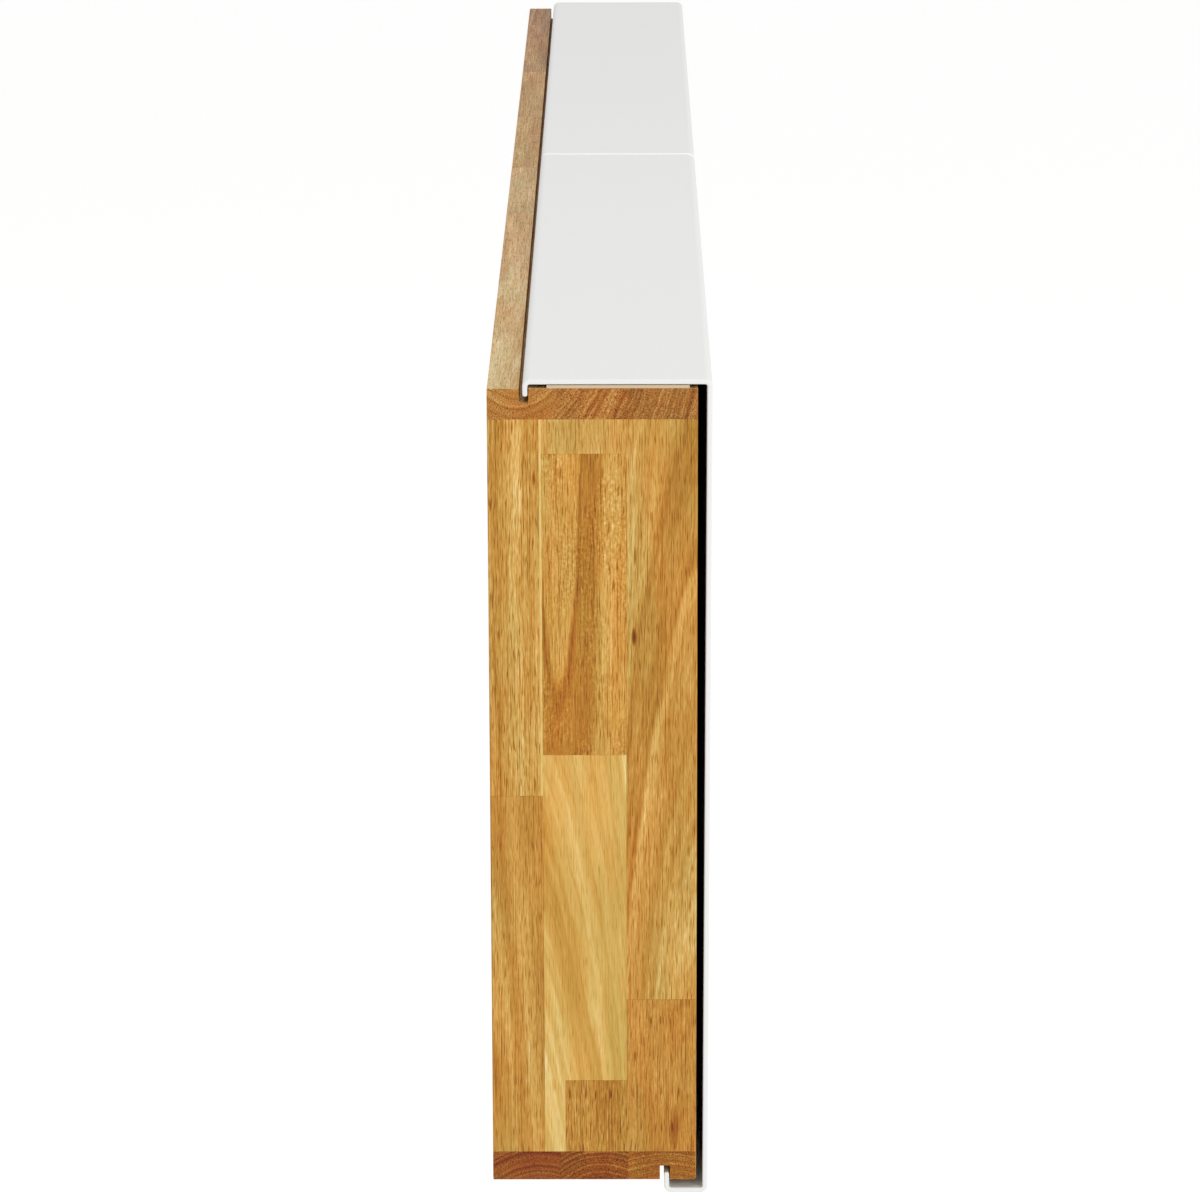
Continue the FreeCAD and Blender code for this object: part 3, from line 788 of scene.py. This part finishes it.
def rounded_outline(corners, steps=8):
    """Points of a closed outline whose corners, (across, up, radius), are rounded by arcs."""
    points = []
    count = len(corners)
    for index, (across, up, radius) in enumerate(corners):
        here = Vector((across, up))
        before = Vector(corners[index - 1][:2])
        after = Vector(corners[(index + 1) % count][:2])
        towards_before = (before - here).normalized()
        towards_after = (after - here).normalized()
        half = towards_before.angle(towards_after) / 2
        middle = (towards_before + towards_after).normalized()
        centre = here + middle * (radius / math.sin(half))
        start = here + towards_before * (radius / math.tan(half)) - centre
        end = here + towards_after * (radius / math.tan(half)) - centre
        sweep = math.atan2(start.x * end.y - start.y * end.x, start.dot(end))
        for step in range(steps + 1):
            points.append(centre + Matrix.Rotation(sweep * step / steps, 2) @ start)
    return points


def door_outline(low, high):
    """The bent sheet's section: outer corners from the top lip round to the bottom lip, then inner."""
    bottom_lip = BOTTOM_LOW.z + BOTTOM_LIP_REACH
    top_lip = TOP_HIGH.z - TOP_LIP_REACH
    back_of_lip = TOP_HIGH.y - BOTTOM_LIP_BACK
    outer = [
        (high.y, top_lip, LIP_ROUND),
        (high.y, high.z, OUTER_BEND),
        (low.y, high.z, OUTER_BEND),
        (low.y + FRONT_TOE_IN, low.z, OUTER_BEND),
        (back_of_lip, low.z, OUTER_BEND),
        (back_of_lip, bottom_lip, LIP_ROUND),
    ]
    inner = [
        (back_of_lip - SHEET, bottom_lip, LIP_ROUND),
        (back_of_lip - SHEET, low.z + SHEET, INNER_BEND),
        (low.y + FRONT_TOE_IN + SHEET, low.z + SHEET, INNER_BEND),
        (low.y + SHEET, high.z - SHEET, INNER_BEND),
        (high.y - SHEET, high.z - SHEET, INNER_BEND),
        (high.y - SHEET, top_lip, LIP_ROUND),
    ]
    return rounded_outline(outer + inner)


def box_mesh(name, low, high):
    """A plain box between two corners."""
    shape = bmesh.new()
    bmesh.ops.create_cube(shape, size=1.0)
    size, middle = high - low, (high + low) / 2
    for vertex in shape.verts:
        vertex.co = Vector(a * b for a, b in zip(vertex.co, size)) + middle
    mesh = bpy.data.meshes.new(name)
    shape.to_mesh(mesh)
    shape.free()
    return mesh


def make_door(node, outward):
    """A door: the bent section drawn out along X, with the stop's notch cut from its top lip."""
    low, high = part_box(node)
    outline = door_outline(low, high)
    shape = bmesh.new()
    ends = [[shape.verts.new((x, y, z)) for y, z in outline] for x in (low.x, high.x)]
    count = len(outline)
    for index in range(count):
        after = (index + 1) % count
        shape.faces.new((ends[0][index], ends[0][after], ends[1][after], ends[1][index]))
    for end in ends:
        shape.faces.new(end)
    bmesh.ops.recalc_face_normals(shape, faces=shape.faces)
    mesh = bpy.data.meshes.new(node + "_sheet")
    shape.to_mesh(mesh)
    shape.free()
    piece = link(node + "_sheet", mesh)

    outer_end = low.x if outward < 0 else high.x
    edges = sorted(outer_end - outward * reach for reach in (NOTCH_START, NOTCH_START + NOTCH_LENGTH))
    notch_low = Vector((edges[0], high.y - 2 * SHEET, TOP_HIGH.z - 2 * TOP_LIP_REACH))
    notch_high = Vector((edges[1], high.y + SHEET, TOP_HIGH.z + NOTCH_TOP))
    cutter = link(node + "_cutter", box_mesh(node + "_cutter", notch_low, notch_high))
    soften(piece, CUT_EDGE, 3, SHEET_BEVEL_ANGLE)
    notch = piece.modifiers.new("notch", "BOOLEAN")
    notch.object = cutter
    notch.solver = "EXACT"
    finished_mesh(piece)
    bpy.data.objects.remove(cutter)
    stand_for(piece, node, steel_coat)


# ---- making ----

DOWEL_SEED = 71
for node, material in materials.items():
    refined(node, BOARD_EDGE, material)
for side, material in back_veneer.items():
    refined(f"{side}_back_panel", BOARD_EDGE, material, segments=1)
for node in ("left_shelf_pins", "right_shelf_pins", "stop_pins"):
    refined(node, PIN_EDGE, pin_steel)
for node in ("corner_dowels", "divider_dowels", "rail_dowels"):
    dowel_axes = "XYZ" if node == "rail_dowels" else "ZYX"
    refined(node, DOWEL_EDGE, board_wood(node, *dowel_axes, DOWEL_PALETTE, DOWEL_SEED), segments=1)
refined("top_glide_strip", STRIP_EDGE, glide_felt("glide_felt"))
refined("front_bumpers", PAD_EDGE, soft_rubber("bumper_rubber"), segments=3)
make_door("left_door", -1)
make_door("right_door", 1)


# ---- floor, light and camera ----

WORLD_STRENGTH = 0.99
# Each square light: its name, place, what it points at, size and power.
LIGHTS = (
    ("overhead", (-1.1, -0.3, 2.3), (-0.7, -0.1, 0.0), 1.6, 9),
    ("end_key", (-5.6, -4.2, 2.0), (cad_low + cad_high) / 2, 3.0, 150),
)

SENSOR_WIDTH = 36.0
LENS = 151.3
CAMERA_BEFORE_END = 2.953
CAMERA_BEFORE_BACK = 0.0807
CAMERA_ABOVE_TOP = 0.673
CAMERA_YAW = math.radians(0.25)
CAMERA_PITCH = math.radians(15.24)
CAMERA_ROLL = math.radians(0.15)
CAMERA_REACH = 200.0


def make_floor():
    """A wide pale floor, as far down as under a wall cabinet."""
    mesh = bpy.data.meshes.new("floor")
    level = cad_low.z - FLOOR_DROP
    signs = ((-1, -1), (1, -1), (1, 1), (-1, 1))
    corners = [(x * FLOOR_REACH, y * FLOOR_REACH, level) for x, y in signs]
    mesh.from_pydata(corners, [], [(0, 1, 2, 3)])
    floor = link("floor", mesh)
    mesh.materials.append(floor_paint("floor_paint"))


def area_light(name, place, target, size, power):
    """A square light at the place, turned to the target."""
    lamp = bpy.data.lights.new(name, "AREA")
    lamp.shape = "SQUARE"
    lamp.size = size
    lamp.energy = power
    item = bpy.data.objects.new(name, lamp)
    bpy.context.scene.collection.objects.link(item)
    item.location = place
    item.rotation_euler = (Vector(target) - Vector(place)).to_track_quat("-Z", "Y").to_euler()


def make_light():
    """A white surround and two large soft lights."""
    world = bpy.data.worlds.new("studio")
    world.use_nodes = True
    background = world.node_tree.nodes["Background"]
    background.inputs["Color"].default_value = (1.0, 1.0, 1.0, 1.0)
    background.inputs["Strength"].default_value = WORLD_STRENGTH
    bpy.context.scene.world = world
    for light in LIGHTS:
        area_light(*light)
    bpy.context.scene.view_settings.view_transform = "Standard"


def make_camera():
    """Looks along the cabinet from its near end, from above the top board's level."""
    data = bpy.data.cameras.new("camera")
    data.sensor_width = SENSOR_WIDTH
    data.lens = LENS
    camera = bpy.data.objects.new("camera", data)
    bpy.context.scene.collection.objects.link(camera)
    camera.location = (TOP_LOW.x - CAMERA_BEFORE_END, TOP_HIGH.y - CAMERA_BEFORE_BACK,
                       TOP_HIGH.z + CAMERA_ABOVE_TOP)
    level = Matrix.Rotation(math.radians(90), 4, "X")
    along_cabinet = Matrix.Rotation(math.radians(-90) + CAMERA_YAW, 4, "Z") @ level
    pitched = along_cabinet @ Matrix.Rotation(-CAMERA_PITCH, 4, "X")
    camera.rotation_euler = (pitched @ Matrix.Rotation(-CAMERA_ROLL, 4, "Z")).to_euler()
    data.clip_end = CAMERA_REACH
    bpy.context.scene.camera = camera


make_floor()
make_light()
make_camera()
